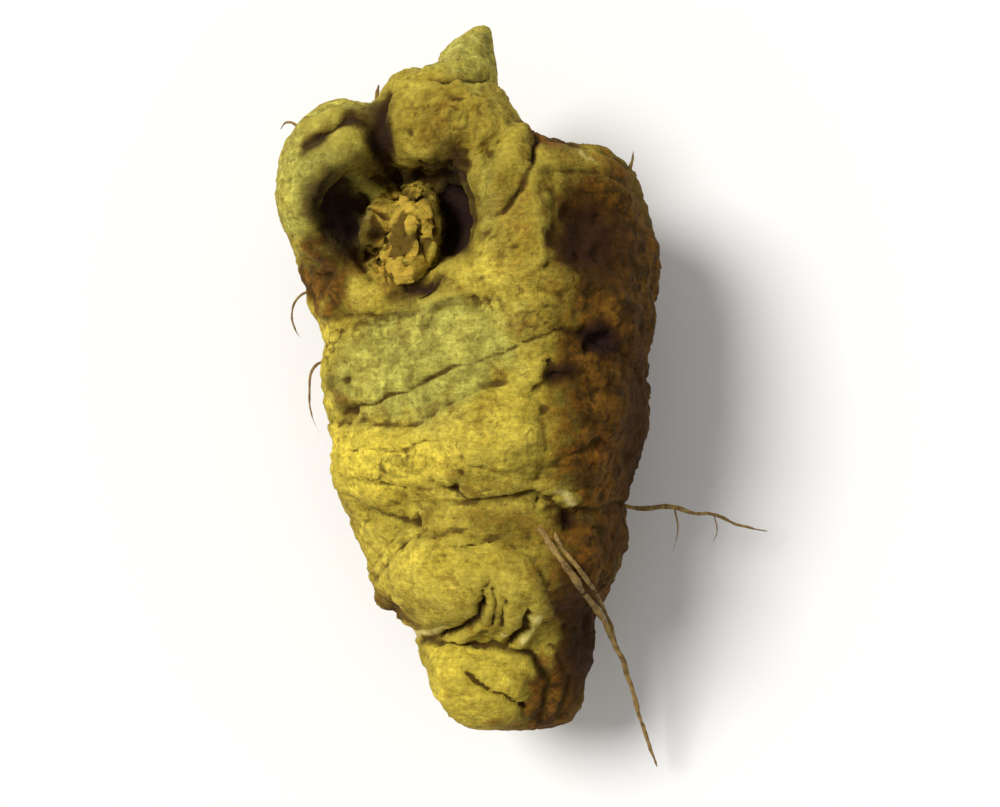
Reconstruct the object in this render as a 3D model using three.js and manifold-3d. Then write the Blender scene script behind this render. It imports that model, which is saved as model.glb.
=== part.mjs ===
// A dried rhizome of black turmeric, lying on its side, with the few roots that are still on it.
// Millimetres, +Z up, +Y towards the crown, where the leaf shoot stood. The shapes are drawn with
// y = 0 at the middle of the rhizome's length; at the end the whole part is moved so that its
// origin is on the surface that it lies on, under the middle of its outline.
import * as THREE from "three";
import { mergeVertices } from "three/addons/utils/BufferGeometryUtils.js";
import { ImprovedNoise } from "three/addons/math/ImprovedNoise.js";
import Module from "manifold-3d";

const wasm = await Module();
wasm.setup();
const noise = new ImprovedNoise();

// Driving dimensions.
const bodyFoot = -27.8; // the tapered end
const bodyCrown = 19.8; // the blunt end, under the shoot's stub
const crestShift = 0.2; // how far the crest stands right of the middle, as a share of the half width
const restCut = 0.4; // how much of the lowest swellings is pressed flat where the rhizome rests
const rootGap = 0.4; // clearance between a root and the body
const ringWidth = 1.5;
const growth = 0.7; // how far the uneven growth moves the skin

// Cross-sections of the body from foot to crown: how far it reaches left, right, up and down, and
// how steeply its rings rise towards the right there.
const bodySections = [
  { y: -27.8, left: 0.0, right: 11.0, top: 15.0, bottom: 4.2, slope: 0.0 },
  { y: -23.5, left: -3.0, right: 11.0, top: 17.2, bottom: 2.4, slope: 0.0 },
  { y: -20.2, left: -5.2, right: 11.3, top: 18.8, bottom: 1.3, slope: 0.02 },
  { y: -16.5, left: -7.6, right: 11.9, top: 20.6, bottom: 0.3, slope: 0.03 },
  { y: -12.5, left: -8.7, right: 13.0, top: 22.2, bottom: 0.0, slope: 0.06 },
  { y: -8.0, left: -10.0, right: 13.9, top: 23.4, bottom: 0.4, slope: 0.14 },
  { y: -3.0, left: -11.2, right: 14.8, top: 24.6, bottom: 0.9, slope: 0.24 },
  { y: 2.0, left: -11.5, right: 15.1, top: 25.2, bottom: 0.9, slope: 0.2 },
  { y: 7.0, left: -12.8, right: 15.3, top: 25.6, bottom: 0.3, slope: 0.08 },
  { y: 12.0, left: -13.8, right: 15.3, top: 25.4, bottom: 0.0, slope: -0.06 },
  { y: 17.0, left: -13.4, right: 15.0, top: 24.2, bottom: 1.2, slope: -0.13 },
  { y: 22.0, left: -11.4, right: 14.4, top: 22.4, bottom: 3.6, slope: -0.18 },
];

// The torn stub of the leaf shoot, in the same way.
const stubSections = [
  { y: 12.0, left: -8.0, right: 7.6, top: 23.0, bottom: 7.0, slope: 0.0 },
  { y: 16.0, left: -8.8, right: 7.4, top: 24.6, bottom: 6.4, slope: 0.0 },
  { y: 19.5, left: -9.2, right: 5.4, top: 24.4, bottom: 7.4, slope: 0.0 },
  { y: 21.6, left: -8.4, right: 3.2, top: 23.4, bottom: 9.0, slope: 0.0 },
  { y: 23.0, left: -5.6, right: 2.7, top: 22.4, bottom: 11.0, slope: 0.0 },
  { y: 25.0, left: -2.6, right: 2.3, top: 21.2, bottom: 13.4, slope: 0.0 },
  { y: 27.6, left: 0.0, right: 1.9, top: 19.4, bottom: 16.6, slope: 0.0 },
];

// Rings, the scars of the leaf sheaths: where each crosses the body's middle, and its depth.
const rings = [
  { y: 4.8, depth: 0.5 },
  { y: -2.4, depth: 0.7 },
  { y: -9.8, depth: 0.8 },
  { y: -13.0, depth: 0.5 },
  { y: -19.2, depth: 1.0 },
  { y: -23.8, depth: 0.5 },
];

// Broad swellings and hollows of the upper side, seen from above.
const swells = [
  { x: 5.0, y: 11.0, wide: 2.2, long: 5.5, height: 1.0 }, // crest ridge beside the scar
  { x: 3.4, y: 16.0, wide: 2.4, long: 3.2, height: 0.8 }, // rim flap of the scar
  { x: 8.8, y: 9.8, wide: 2.6, long: 3.8, height: -1.5 }, // hollow right of the crest
  { x: 11.0, y: 15.8, wide: 4.0, long: 2.2, height: 0.8 }, // right shoulder
  { x: -2.6, y: 1.2, wide: 6.0, long: 2.6, height: -0.35 }, // smooth plate
  { x: 2.2, y: -5.4, wide: 3.6, long: 2.9, height: 1.2 }, // bulge under the plate
  { x: -6.2, y: -6.6, wide: 3.6, long: 2.4, height: 0.5 }, // bright band
  { x: -0.4, y: -15.8, wide: 5.6, long: 3.0, height: 1.3 }, // bud dome
  { x: 7.6, y: -21.8, wide: 2.6, long: 3.0, height: -0.9 }, // low ground beside the end bud
];

// A smooth hill of height 1 and the given spread, round zero.
const hill = (distance, spread) => Math.exp(-((distance / spread) ** 2));

// A smooth curve through the sections, and the cross-section that it gives at a height y.
function curveThrough(sections) {
  return new THREE.CubicInterpolant(
    sections.map((s) => s.y),
    sections.flatMap((s) => [s.left, s.right, s.top, s.bottom, s.slope]),
    5,
  );
}

function sectionAt(curve, y) {
  const [left, right, top, bottom, slope] = curve.evaluate(y);
  return {
    x: (left + right) / 2,
    z: (top + bottom) / 2,
    halfWidth: (right - left) / 2,
    halfHeight: (top - bottom) / 2,
    slope,
  };
}

// A closed mesh as a solid that can be joined and cut, and back again.
function solidOf(geometry) {
  const bare = geometry.clone();
  bare.deleteAttribute("normal");
  bare.deleteAttribute("uv");
  const merged = mergeVertices(bare, 1e-3);
  return new wasm.Manifold(
    new wasm.Mesh({
      numProp: 3,
      vertProperties: new Float32Array(merged.attributes.position.array),
      triVerts: new Uint32Array(merged.index.array),
    }),
  );
}

function geometryOf(solid) {
  const mesh = solid.getMesh();
  const points = new Float32Array(mesh.numVert * 3);
  for (let i = 0; i < mesh.numVert; i++) {
    points.set(mesh.vertProperties.subarray(i * mesh.numProp, i * mesh.numProp + 3), i * 3);
  }
  const geometry = new THREE.BufferGeometry();
  geometry.setAttribute("position", new THREE.BufferAttribute(points, 3));
  geometry.setIndex(new THREE.BufferAttribute(mesh.triVerts, 1));
  return geometry;
}

// A long body along Y: a turned profile of unit radius, rounded at both ends, whose rows are
// stretched to the cross-sections and tilted with the rings. offset(x, y, z, row) moves the skin
// out, row being the height at which the row crosses the middle.
function loft({ curve, foot, crown, footBlunt, crownBlunt, rows, segments, crest, offset }) {
  const middle = (foot + crown) / 2;
  const half = (crown - foot) / 2;
  const profile = [];
  for (let i = 0; i <= rows; i++) {
    const t = (2 * i) / rows - 1;
    const u = 0.4 * Math.sin((Math.PI / 2) * t) + 0.6 * t;
    const blunt = t > 0 ? crownBlunt : footBlunt;
    const radius = i % rows === 0 ? 0 : (1 - Math.abs(u) ** blunt) ** (1 / blunt);
    profile.push(new THREE.Vector2(radius, middle + half * u));
  }
  const geometry = new THREE.LatheGeometry(profile, segments);
  const position = geometry.attributes.position;
  for (let i = 0; i < position.count; i++) {
    const across = position.getX(i);
    const up = position.getZ(i);
    const row = position.getY(i);
    const radius = Math.hypot(across, up);
    const angle = Math.atan2(up, across);
    const section = sectionAt(curve, row);
    const facets = 1 - 0.1 * hill(angle - 2.35, 0.55) - 0.07 * hill(angle - 0.6, 0.45);
    let x = section.x + section.halfWidth * (across * facets + crest * Math.max(0, up) ** 1.5);
    let z = section.z + section.halfHeight * up * facets;
    const y = row + section.slope * (x - section.x);
    if (radius > 0.3) {
      const out = offset(x, y, z, row) * Math.min(1, (radius - 0.3) * 2.5);
      x += (out * across) / radius;
      z += (out * up) / radius;
    }
    position.setXYZ(i, x, y, z);
  }
  return geometry;
}

const bodyCurve = curveThrough(bodySections);
const stubCurve = curveThrough(stubSections);

// How far the rings, the swells and the uneven growth move the body's skin out.
function bodyOffset(x, y, z, row) {
  const wander = 0.9 * noise.noise(x / 8, 3.5, z / 8);
  let offset = growth * noise.noise(x / 7, y / 6, z / 7);
  for (const ring of rings) offset -= ring.depth * hill(row - ring.y - wander, ringWidth);
  const upper = THREE.MathUtils.smoothstep(z, 9, 15);
  for (const swell of swells) {
    offset += swell.height * upper * hill(x - swell.x, swell.wide) * hill(y - swell.y, swell.long);
  }
  return offset;
}

const bodyGeometry = () =>
  loft({
    curve: bodyCurve,
    foot: bodyFoot,
    crown: bodyCrown,
    footBlunt: 3.6,
    crownBlunt: 6,
    rows: 46,
    segments: 44,
    crest: crestShift,
    offset: bodyOffset,
  });

const stubGeometry = () =>
  loft({
    curve: stubCurve,
    foot: 12.2,
    crown: 27.5,
    footBlunt: 3,
    crownBlunt: 3,
    rows: 14,
    segments: 20,
    crest: 0,
    offset: (x, y, z) => 0.6 * noise.noise(x / 3, y / 3, z / 3),
  });

// A lump of tissue: an uneven ball, stretched and turned.
function lump({ at, size, turn = 0, rough = 0.1, detail = 4, seed = 0 }) {
  const geometry = new THREE.IcosahedronGeometry(1, detail);
  const position = geometry.attributes.position;
  for (let i = 0; i < position.count; i++) {
    const [x, y, z] = [position.getX(i), position.getY(i), position.getZ(i)];
    const swell = 1 + rough * noise.noise(x * 1.6 + seed, y * 1.6 + seed, z * 1.6);
    position.setXYZ(i, x * swell * size[0], y * swell * size[1], z * swell * size[2]);
  }
  geometry.rotateZ(THREE.MathUtils.degToRad(turn));
  geometry.translate(...at);
  return solidOf(geometry);
}

// Where a ray meets a mesh first, and which way the skin faces there.
const caster = new THREE.Raycaster();
function hitFrom(mesh, start, direction) {
  caster.set(start, direction);
  const hit = caster.intersectObject(mesh)[0];
  return { point: hit.point, normal: hit.face.normal };
}

const hitFromAbove = (mesh, x, y) =>
  hitFrom(mesh, new THREE.Vector3(x, y, 60), new THREE.Vector3(0, 0, -1));

// The same from outside the body, at an angle round its axis.
function hitFromSide(mesh, y, degrees) {
  const section = sectionAt(bodyCurve, y);
  const angle = THREE.MathUtils.degToRad(degrees);
  const out = new THREE.Vector3(Math.cos(angle), 0, Math.sin(angle));
  const start = new THREE.Vector3(section.x, y, section.z).addScaledVector(out, 60);
  return hitFrom(mesh, start, out.clone().negate());
}

const meshOf = (solid) =>
  new THREE.Mesh(geometryOf(solid), new THREE.MeshBasicMaterial({ side: THREE.DoubleSide }));

function rhizomeSolid() {
  let solid = solidOf(bodyGeometry());
  const bare = meshOf(solid);
  const inSkin = (x, y, sink) => [x, y, hitFromAbove(bare, x, y).point.z - sink];
  const growths = [
    { at: [-8.7, 14.4, 13.8], size: [6.6, 7.6, 10.0], turn: 14, seed: 1 }, // left lobe of the crown
    { at: inSkin(1.5, -23.5, 1.8), size: [4.3, 3.7, 4.6], turn: -18, seed: 8 }, // end bud
    { at: inSkin(7.3, -9.6, 0.3), size: [1.0, 0.8, 1.1], detail: 2, seed: 9 }, // stump of a lost root
  ];
  const hollows = [
    { at: inSkin(-5.4, 11.8, -0.8), size: [6.2, 5.0, 5.4], turn: 6, seed: 12 }, // scar of the shoot
    { at: [-10.2, 18.0, 23.0], size: [2.4, 1.1, 2.4], turn: 24, detail: 3, seed: 13 }, // dimple
  ];
  const scarCores = [
    { at: inSkin(-4.1, 11.0, 3.2), size: [1.9, 4.1, 4.2], turn: -10, rough: 0.25, seed: 15 },
    { at: inSkin(-6.9, 12.6, 3.5), size: [1.4, 2.8, 3.4], turn: -34, rough: 0.25, seed: 16 },
  ];
  for (const growthOf of growths) solid = solid.add(lump(growthOf));
  solid = solid.add(solidOf(stubGeometry()));
  for (const hollow of hollows) solid = solid.subtract(lump(hollow));
  for (const core of scarCores) solid = solid.add(lump({ ...core, detail: 3 }));

  // Resting buds on the flanks and below, between the rings.
  const sideBuds = [
    { y: 1.0, degrees: -20, size: [3.0, 3.0, 3.2], sink: 2.1 },
    { y: -6.4, degrees: -36, size: [2.5, 2.3, 2.6], sink: 1.7 },
    { y: 0.6, degrees: -150, size: [3.0, 3.0, 2.8], sink: 2.1 },
    { y: -11.4, degrees: -164, size: [2.5, 2.2, 2.4], sink: 1.7 },
  ];
  sideBuds.forEach((bud, index) => {
    const { point, normal } = hitFromSide(bare, bud.y, bud.degrees);
    const at = point.clone().addScaledVector(normal, -bud.sink).toArray();
    solid = solid.add(lump({ at, size: bud.size, detail: 3, seed: 20 + index }));
  });

  const belowRest = new THREE.BoxGeometry(100, 100, 20);
  belowRest.translate(0, 0, restCut - 10);
  return solid.subtract(solidOf(belowRest));
}

// A root: a tapering tube along a smooth curve through its points.
function rootGeometry({ points, thick, thin }) {
  const sides = 8;
  const curve = new THREE.CatmullRomCurve3(points);
  const steps = Math.max(6, Math.round(curve.getLength() / (2.5 * thick)));
  const outline = Array.from({ length: sides }, (_, i) => {
    const angle = (2 * Math.PI * i) / sides;
    return new THREE.Vector2(Math.cos(angle), Math.sin(angle)).multiplyScalar(thick / 2);
  });
  const geometry = new THREE.ExtrudeGeometry(new THREE.Shape(outline), {
    steps,
    extrudePath: curve,
    bevelEnabled: false,
  });
  const position = geometry.attributes.position;
  const centres = curve.getSpacedPoints(steps);
  const vertex = new THREE.Vector3();
  for (let i = 0; i < position.count; i++) {
    vertex.fromBufferAttribute(position, i);
    const distances = centres.map((centre) => centre.distanceTo(vertex));
    const nearest = distances.indexOf(Math.min(...distances));
    const share = 1 - (1 - thin / thick) * (nearest / steps);
    vertex.sub(centres[nearest]).multiplyScalar(share).add(centres[nearest]);
    position.setXYZ(i, vertex.x, vertex.y, vertex.z);
  }
  return geometry;
}

const body = new THREE.Mesh(
  geometryOf(rhizomeSolid()),
  new THREE.MeshStandardMaterial({ color: 0x9a8434, roughness: 0.92, metalness: 0 }),
);
body.name = "rhizome";

// A point clear of the body: over the skin seen from above, or out from it at an angle.
function overSkin(x, y, thick) {
  const { point, normal } = hitFromAbove(body, x, y);
  return point.addScaledVector(normal, rootGap + thick / 2);
}
function besideSkin(y, degrees, away) {
  const { point, normal } = hitFromSide(body, y, degrees);
  return point.addScaledVector(normal, away);
}
const at = (x, y, z) => new THREE.Vector3(x, y, z);

// The roots that are left. Each starts just clear of the skin that it grows from.
const roots = [
  {
    name: "root_long",
    thick: 0.9,
    thin: 0.4,
    points: [
      overSkin(6.2, -12.6, 0.9),
      overSkin(8.0, -15.0, 1.2),
      overSkin(9.6, -17.4, 1.6),
      at(12.0, -20.6, 12.6),
      at(13.0, -23.6, 9.8),
      at(14.2, -27.6, 6.4),
      at(15.8, -31.7, 3.4),
    ],
  },
  {
    name: "root_wiry",
    thick: 0.5,
    thin: 0.3,
    points: [
      besideSkin(-9.9, -8, 0.7),
      at(16.6, -10.1, 9.0),
      at(20.2, -10.7, 7.2),
      at(25.2, -12.1, 4.2),
    ],
  },
  {
    name: "hair_root_upper",
    thick: 0.3,
    thin: 0.2,
    points: [besideSkin(7.2, 178, 0.5), at(-14.1, 5.6, 12.4), at(-14.0, 3.8, 10.8)],
  },
  {
    name: "hair_root_lower",
    thick: 0.3,
    thin: 0.2,
    points: [besideSkin(1.6, 176, 0.5), at(-12.6, -0.8, 12.0), at(-12.3, -3.6, 10.6)],
  },
];
const rootMeshes = roots.map((root) => {
  const material = new THREE.MeshStandardMaterial({ color: 0x6b5326, roughness: 0.85 });
  const mesh = new THREE.Mesh(rootGeometry(root), material);
  mesh.name = root.name;
  return mesh;
});

const part = new THREE.Group();
part.add(body, ...rootMeshes);
const outline = new THREE.Box3().setFromObject(part);
const centre = outline.getCenter(new THREE.Vector3());
part.position.set(-centre.x, -centre.y, -outline.min.z);

export default part;
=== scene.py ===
import math
import random

import bpy
import numpy as np
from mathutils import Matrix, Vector, noise


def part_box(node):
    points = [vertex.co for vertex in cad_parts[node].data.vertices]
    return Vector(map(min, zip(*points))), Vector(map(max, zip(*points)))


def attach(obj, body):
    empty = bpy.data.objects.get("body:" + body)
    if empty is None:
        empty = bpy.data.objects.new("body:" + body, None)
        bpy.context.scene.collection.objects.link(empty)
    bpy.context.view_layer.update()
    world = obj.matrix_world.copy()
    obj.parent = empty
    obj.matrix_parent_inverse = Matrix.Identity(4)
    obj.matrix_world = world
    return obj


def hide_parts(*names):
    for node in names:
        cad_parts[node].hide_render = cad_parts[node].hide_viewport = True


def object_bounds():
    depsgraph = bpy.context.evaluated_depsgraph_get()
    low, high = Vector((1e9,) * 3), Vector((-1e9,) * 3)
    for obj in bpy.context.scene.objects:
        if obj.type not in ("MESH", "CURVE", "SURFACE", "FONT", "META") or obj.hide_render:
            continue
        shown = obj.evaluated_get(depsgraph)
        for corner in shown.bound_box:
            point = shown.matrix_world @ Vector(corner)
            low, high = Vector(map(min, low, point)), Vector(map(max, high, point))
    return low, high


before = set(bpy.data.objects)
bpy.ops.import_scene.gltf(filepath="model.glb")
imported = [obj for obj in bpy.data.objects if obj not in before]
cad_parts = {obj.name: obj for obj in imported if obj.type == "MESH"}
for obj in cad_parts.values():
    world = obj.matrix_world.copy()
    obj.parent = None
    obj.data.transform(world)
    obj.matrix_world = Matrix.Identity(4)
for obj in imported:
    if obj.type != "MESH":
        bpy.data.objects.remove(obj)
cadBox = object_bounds()
mm = 0.001

# Places on the rhizome are in mm: x to the right, y towards the crown from the middle of its length,
# z up from the surface that it lies on. The solids' boxes say where that is in the frame.
wiryReach, footReach, pressed = 25.277, 27.8, 0.4
zero = Vector((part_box("root_wiry")[1].x - wiryReach * mm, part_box("rhizome")[0].y + footReach * mm, -pressed * mm))


def place(x, y, z):
    return zero + Vector((x, y, z)) * mm


def onlySelect(obj):
    bpy.ops.object.select_all(action="DESELECT")
    obj.select_set(True)
    bpy.context.view_layer.objects.active = obj


def applyModifier(obj, kind, **settings):
    onlySelect(obj)
    modifier = obj.modifiers.new(kind.title(), kind)
    for name, value in settings.items():
        setattr(modifier, name, value)
    bpy.ops.object.modifier_apply(modifier=modifier.name)


# the skin's base mesh

skinMesh = {
    "firstVoxel": 0.42,  # mm, joins the lobes and rounds the seams between them
    "voxel": 0.262,  # mm, the mesh that is carved
    "rounding": 6,  # smoothing passes before the second remesh
}


def makeSkin():
    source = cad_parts["rhizome"]
    skin = bpy.data.objects.new("rhizome_skin", source.data.copy())
    bpy.context.scene.collection.objects.link(skin)
    onlySelect(skin)
    bpy.ops.object.mode_set(mode="EDIT")
    bpy.ops.mesh.select_all(action="SELECT")
    bpy.ops.mesh.remove_doubles(threshold=1e-6)
    bpy.ops.mesh.tris_convert_to_quads()
    bpy.ops.object.mode_set(mode="OBJECT")
    applyModifier(skin, "SUBSURF", levels=1, render_levels=1)
    applyModifier(skin, "REMESH", mode="VOXEL", voxel_size=skinMesh["firstVoxel"] * mm)
    applyModifier(skin, "SMOOTH", factor=0.6, iterations=skinMesh["rounding"])
    applyModifier(skin, "REMESH", mode="VOXEL", voxel_size=skinMesh["voxel"] * mm)
    applyModifier(skin, "SMOOTH", factor=0.5, iterations=4)
    return skin


# carving: every stroke is in mm, and moves the skin along its normal

axis = {  # the body's middle line, and how steeply its rings rise to the right
    "y": [-28, -20, -12.5, -8, -3, 2, 7, 12, 17, 22],
    "x": [5.5, 3.1, 2.1, 2.0, 1.8, 1.8, 1.3, 0.8, 0.8, 1.5],
    "z": [9.6, 10.0, 11.1, 11.9, 12.7, 13.0, 12.9, 12.7, 12.7, 12.8],
    "slope": [0, 0.02, 0.06, 0.14, 0.24, 0.2, 0.08, -0.06, -0.1, -0.12],
}


class Carving:
    def __init__(self, obj):
        self.mesh = obj.data
        count = len(self.mesh.vertices)
        co = np.empty(count * 3)
        self.mesh.vertices.foreach_get("co", co)
        self.co = (co.reshape(-1, 3) - np.array(zero)) / mm
        edges = np.empty(len(self.mesh.edges) * 2, np.int64)
        self.mesh.edges.foreach_get("vertices", edges)
        self.edges = edges.reshape(-1, 2)
        self.degree = np.bincount(self.edges.ravel(), minlength=count).astype(float)
        self.masks = {}
        self.refresh()

    # normals and places after the moves so far
    def refresh(self):
        flat = (self.co * mm + np.array(zero)).ravel()
        self.mesh.vertices.foreach_set("co", flat)
        self.mesh.update()
        normals = np.empty(len(self.co) * 3, np.float32)
        self.mesh.vertex_normals.foreach_get("vector", normals)
        self.normal = normals.reshape(-1, 3).astype(float)
        self.upper = ramp(self.normal[:, 2], -0.1, 0.25) * ramp(self.co[:, 2], 7, 10)

    def push(self, amount):
        self.co += self.normal * amount[:, None]

    # one pass of averaging with the neighbours
    def average(self, values):
        total = np.zeros_like(values)
        for a, b in ((0, 1), (1, 0)):
            columns = values if values.ndim > 1 else values[:, None]
            for i in range(columns.shape[1]):
                summed = np.bincount(
                    self.edges[:, a], weights=columns[self.edges[:, b], i], minlength=len(values)
                )
                if values.ndim > 1:
                    total[:, i] += summed
                else:
                    total += summed
        degree = self.degree[:, None] if values.ndim > 1 else self.degree
        return total / degree

    def softened(self, values, passes):
        for _ in range(passes):
            values = 0.5 * values + 0.5 * self.average(values)
        return values

    # how far each point lies under its smoothed surroundings: more than 0 in a hollow
    def hollow(self, passes):
        smooth = self.softened(self.co, passes)
        return np.einsum("ij,ij->i", smooth - self.co, self.normal)


def ramp(values, low, high):
    t = np.clip((values - low) / (high - low), 0, 1)
    return t * t * (3 - 2 * t)


def bell(distance, width):
    return np.exp(-((distance / width) ** 2))


# fractal noise at the points, features about size mm across
def grain(points, size, octaves=3, seed=0.0, rough=0.8):
    shift = Vector((seed * 7.3, seed * 3.1, -seed * 5.7))
    scale = 1 / size
    return np.array([noise.fractal(Vector(p) * scale + shift, rough, 2.1, octaves) for p in points])


# noise with sharp valleys or crests
def folds(points, size, seed=0.0):
    return 1 - 2 * np.abs(grain(points, size, 2, seed))


# distance to a line of points, less than 0 on its right
def lineDistance(points, line):
    best, side = np.full(len(points), 1e9), np.ones(len(points))
    for start, end in zip(line, line[1:]):
        a, along = np.array(start), np.array(end) - np.array(start)
        off = points - a
        t = np.clip((off @ along) / (along @ along), 0, 1)
        away = np.linalg.norm(off - t[:, None] * along, axis=1)
        nearer = away < best
        best[nearer] = away[nearer]
        side[nearer] = np.where(along[0] * off[nearer, 1] - along[1] * off[nearer, 0] < 0, -1, 1)
    return best * side


# 1 inside a turned ellipse seen from above, 0 outside, with a soft edge
def patch(points, x, y, wide, long, turn=0, soft=0.5):
    angle = math.radians(turn)
    dx, dy = points[:, 0] - x, points[:, 1] - y
    u = (dx * math.cos(angle) + dy * math.sin(angle)) / wide
    v = (dy * math.cos(angle) - dx * math.sin(angle)) / long
    return 1 - ramp(np.hypot(u, v), 1 - soft, 1 + soft)


sheathRings = [  # where a ring crosses the middle line, its depth and width
    (19.0, 0.3, 0.35),
    (16.2, 0.2, 0.4),
    (8.6, 0.25, 0.45),
    (5.0, 0.4, 0.4),
    (1.6, 0.16, 0.3),
    (-2.6, 0.42, 0.4),
    (-6.2, 0.16, 0.35),
    (-9.8, 0.5, 0.5),
    (-13.0, 0.3, 0.4),
    (-16.2, 0.16, 0.35),
    (-19.2, 0.55, 0.55),
    (-21.6, 0.2, 0.35),
    (-23.9, 0.3, 0.4),
    (-25.8, 0.2, 0.35),
]

swells = [  # a cushion seen from above: x, y, half width, half length, turn, height
    (0.0, -15.8, 6.2, 4.0, -4, 0.9),
    (1.3, -23.9, 4.5, 3.7, -16, 0.7),
    (2.2, -5.0, 3.9, 4.0, 16, 0.5),
    (-6.5, -6.7, 4.2, 2.9, 8, 0.35),
    (-6.6, -12.8, 2.4, 4.2, 24, 0.35),
    (-1.0, 18.4, 4.2, 3.8, 0, 0.4),
    (9.4, -3.2, 3.2, 3.4, 0, 0.4),
    (9.2, -7.6, 3.4, 1.8, 0, 0.35),
    (9.0, -13.8, 2.8, 3.6, 0, 0.35),
    (10.6, 6.0, 3.4, 1.8, -8, 0.35),
    (9.0, 10.4, 2.6, 3.6, 0, -0.45),
    (10.4, 16.6, 3.6, 1.4, -12, 0.3),
    (7.6, -24.0, 1.6, 3.2, 0, 0.3),
    (-11.2, 19.6, 2.6, 1.6, 28, 0.3),
    (-12.6, 13.2, 2.2, 3.6, 0, 0.3),
    (-0.9, 12.4, 1.5, 3.6, 4, -0.9),
    (-3.5, 6.2, 1.9, 0.9, 10, -1.2),
    (-4.0, 15.2, 2.4, 0.6, 0, -0.8),
    (-9.8, 12.2, 1.6, 3.2, 10, -0.6),
    (-9.8, 18.2, 2.0, 1.3, 24, 0.7),
    (2.4, 15.4, 1.7, 3.2, 14, 0.3),
]

creases = [  # a line seen from above, width, depth, how far the skin on its left stands up
    ([(-9.6, -2.9), (-5.8, -1.6), (-1, 0.1), (4.5, 1.8), (7.2, 2.9)], 0.17, 0.38, 0.08),
    ([(-10.6, -3.5), (-3.6, -4.1), (-0.7, -2.4), (3.6, -0.7), (10, 1.5)], 0.3, 0.2, -0.22),
    ([(-12.4, 5.0), (-8.4, 4.5), (-2.4, 4.8), (2.6, 5.6), (5.4, 7.2)], 0.3, 0.16, 0.22),
    ([(-9.2, -9.0), (-5.6, -10.6), (-3.7, -11.3)], 0.22, 0.25, 0.15),
    ([(-1.4, -8.6), (0.2, -9.6), (5.3, -9.1), (7.4, -10.4), (12, -9.6)], 0.28, 0.4, 0.3),
    (
        [(-8.4, -18.2), (-6.6, -15.6), (-4, -12.7), (-0.7, -12.0), (2.9, -12.8), (5.3, -14.8), (6.4, -17.6)],
        0.3, 0.3, -0.3,
    ),
    ([(1.6, -17.2), (0.7, -18.3), (-0.4, -19.2), (-2.1, -20.1)], 0.2, 1.1, 0.25),
    ([(4.6, -18.0), (4.2, -19.1), (3.3, -20.3)], 0.18, 1.0, 0.3),
    ([(1.9, -15.4), (1.5, -16.4), (1.5, -17.3)], 0.14, 0.25, 0.1),
    ([(2.3, -16.2), (2.5, -17.2), (2.1, -18.3)], 0.16, 0.35, 0.1),
    ([(3.3, -16.6), (2.9, -17.6), (3.0, -18.7)], 0.15, 0.3, 0.1),
    ([(0.7, -15.9), (0.1, -17.0)], 0.12, 0.2, 0),
    ([(0.2, -23.0), (0.8, -23.5), (1.6, -24.1), (2.7, -24.4), (4.4, -25.2)], 0.18, 1.0, 0.12),
    (
        [(-5.0, -21.6), (-2.8, -20.5), (-0.4, -20.7), (2.2, -20.6), (4.8, -21.4), (6.2, -23.4), (5.6, -26.4)],
        0.32, 0.6, -0.35,
    ),
    ([(-6.2, 21.4), (-6.7, 18.4), (-6.2, 15.4)], 0.6, 0.9, 0),
    ([(-2.6, 21.8), (-1.7, 21.4), (-0.7, 21.9), (0.4, 22.0), (1.4, 22.5)], 0.17, 0.7, 0.15),
    ([(5.2, 17.8), (5.1, 15.2), (4.3, 13.2), (2.9, 11.2)], 0.22, 0.7, 0.2),
    ([(6.4, 13.2), (6.5, 10.4), (6.2, 7.2)], 0.6, 0.28, 0),
    ([(5.6, 14.4), (8.6, 15.2), (12.6, 14.6)], 0.3, 0.25, 0.12),
    ([(5.2, 19.4), (8.0, 17.2), (12.4, 16.2)], 0.3, 0.3, 0.15),
    ([(7.2, 2.9), (10.2, 2.2), (13.4, 0.2)], 0.35, 0.4, 0.15),
    ([(5.2, -1.2), (7.0, -0.5), (9.6, -1.6)], 0.28, 0.3, 0.12),
    ([(6.6, -6.6), (9.6, -5.2), (12.6, -5.8)], 0.28, 0.3, 0.12),
    ([(6.4, -20.6), (7.8, -23.2), (7.2, -26.6)], 0.35, 0.4, 0),
    ([(-5.2, 14.8), (-5.5, 12.4), (-6.4, 10.2), (-6.0, 8.6)], 0.35, 1.3, 0),
    ([(-3.4, 14.4), (-3.9, 12.0), (-3.3, 9.6)], 0.2, 0.7, 0.2),
    ([(-4.6, 10.6), (-4.9, 9.4), (-4.2, 8.2)], 0.18, 0.5, 0.1),
    ([(-7.8, 14.0), (-7.0, 12.4)], 0.2, 0.6, 0.1),
    ([(-10.2, -6.2), (-7.6, -5.6), (-5.2, -5.9), (-2.8, -5.2)], 0.16, 0.14, 0.08),
    ([(-9.8, -7.6), (-7.2, -7.9), (-4.4, -8.6)], 0.16, 0.16, 0.1),
    ([(-6.6, -6.9), (-5.4, -8.2)], 0.15, 0.12, 0.05),
    ([(-5.0, -6.4), (-4.2, -7.8)], 0.15, 0.12, 0.05),
    ([(-5.0, -12.2), (-6.6, -14.2), (-8.4, -16.2)], 0.14, 0.22, 0.1),
    ([(-1.0, -5.8), (0.6, -6.9), (3.0, -7.4), (5.2, -6.8)], 0.16, 0.16, 0.1),
    ([(-0.6, -3.0), (0.4, -4.6), (0.0, -6.4)], 0.3, 0.2, 0.1),
    ([(5.8, -3.6), (6.0, -5.8), (5.4, -8.2)], 0.35, 0.25, 0),
]

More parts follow.
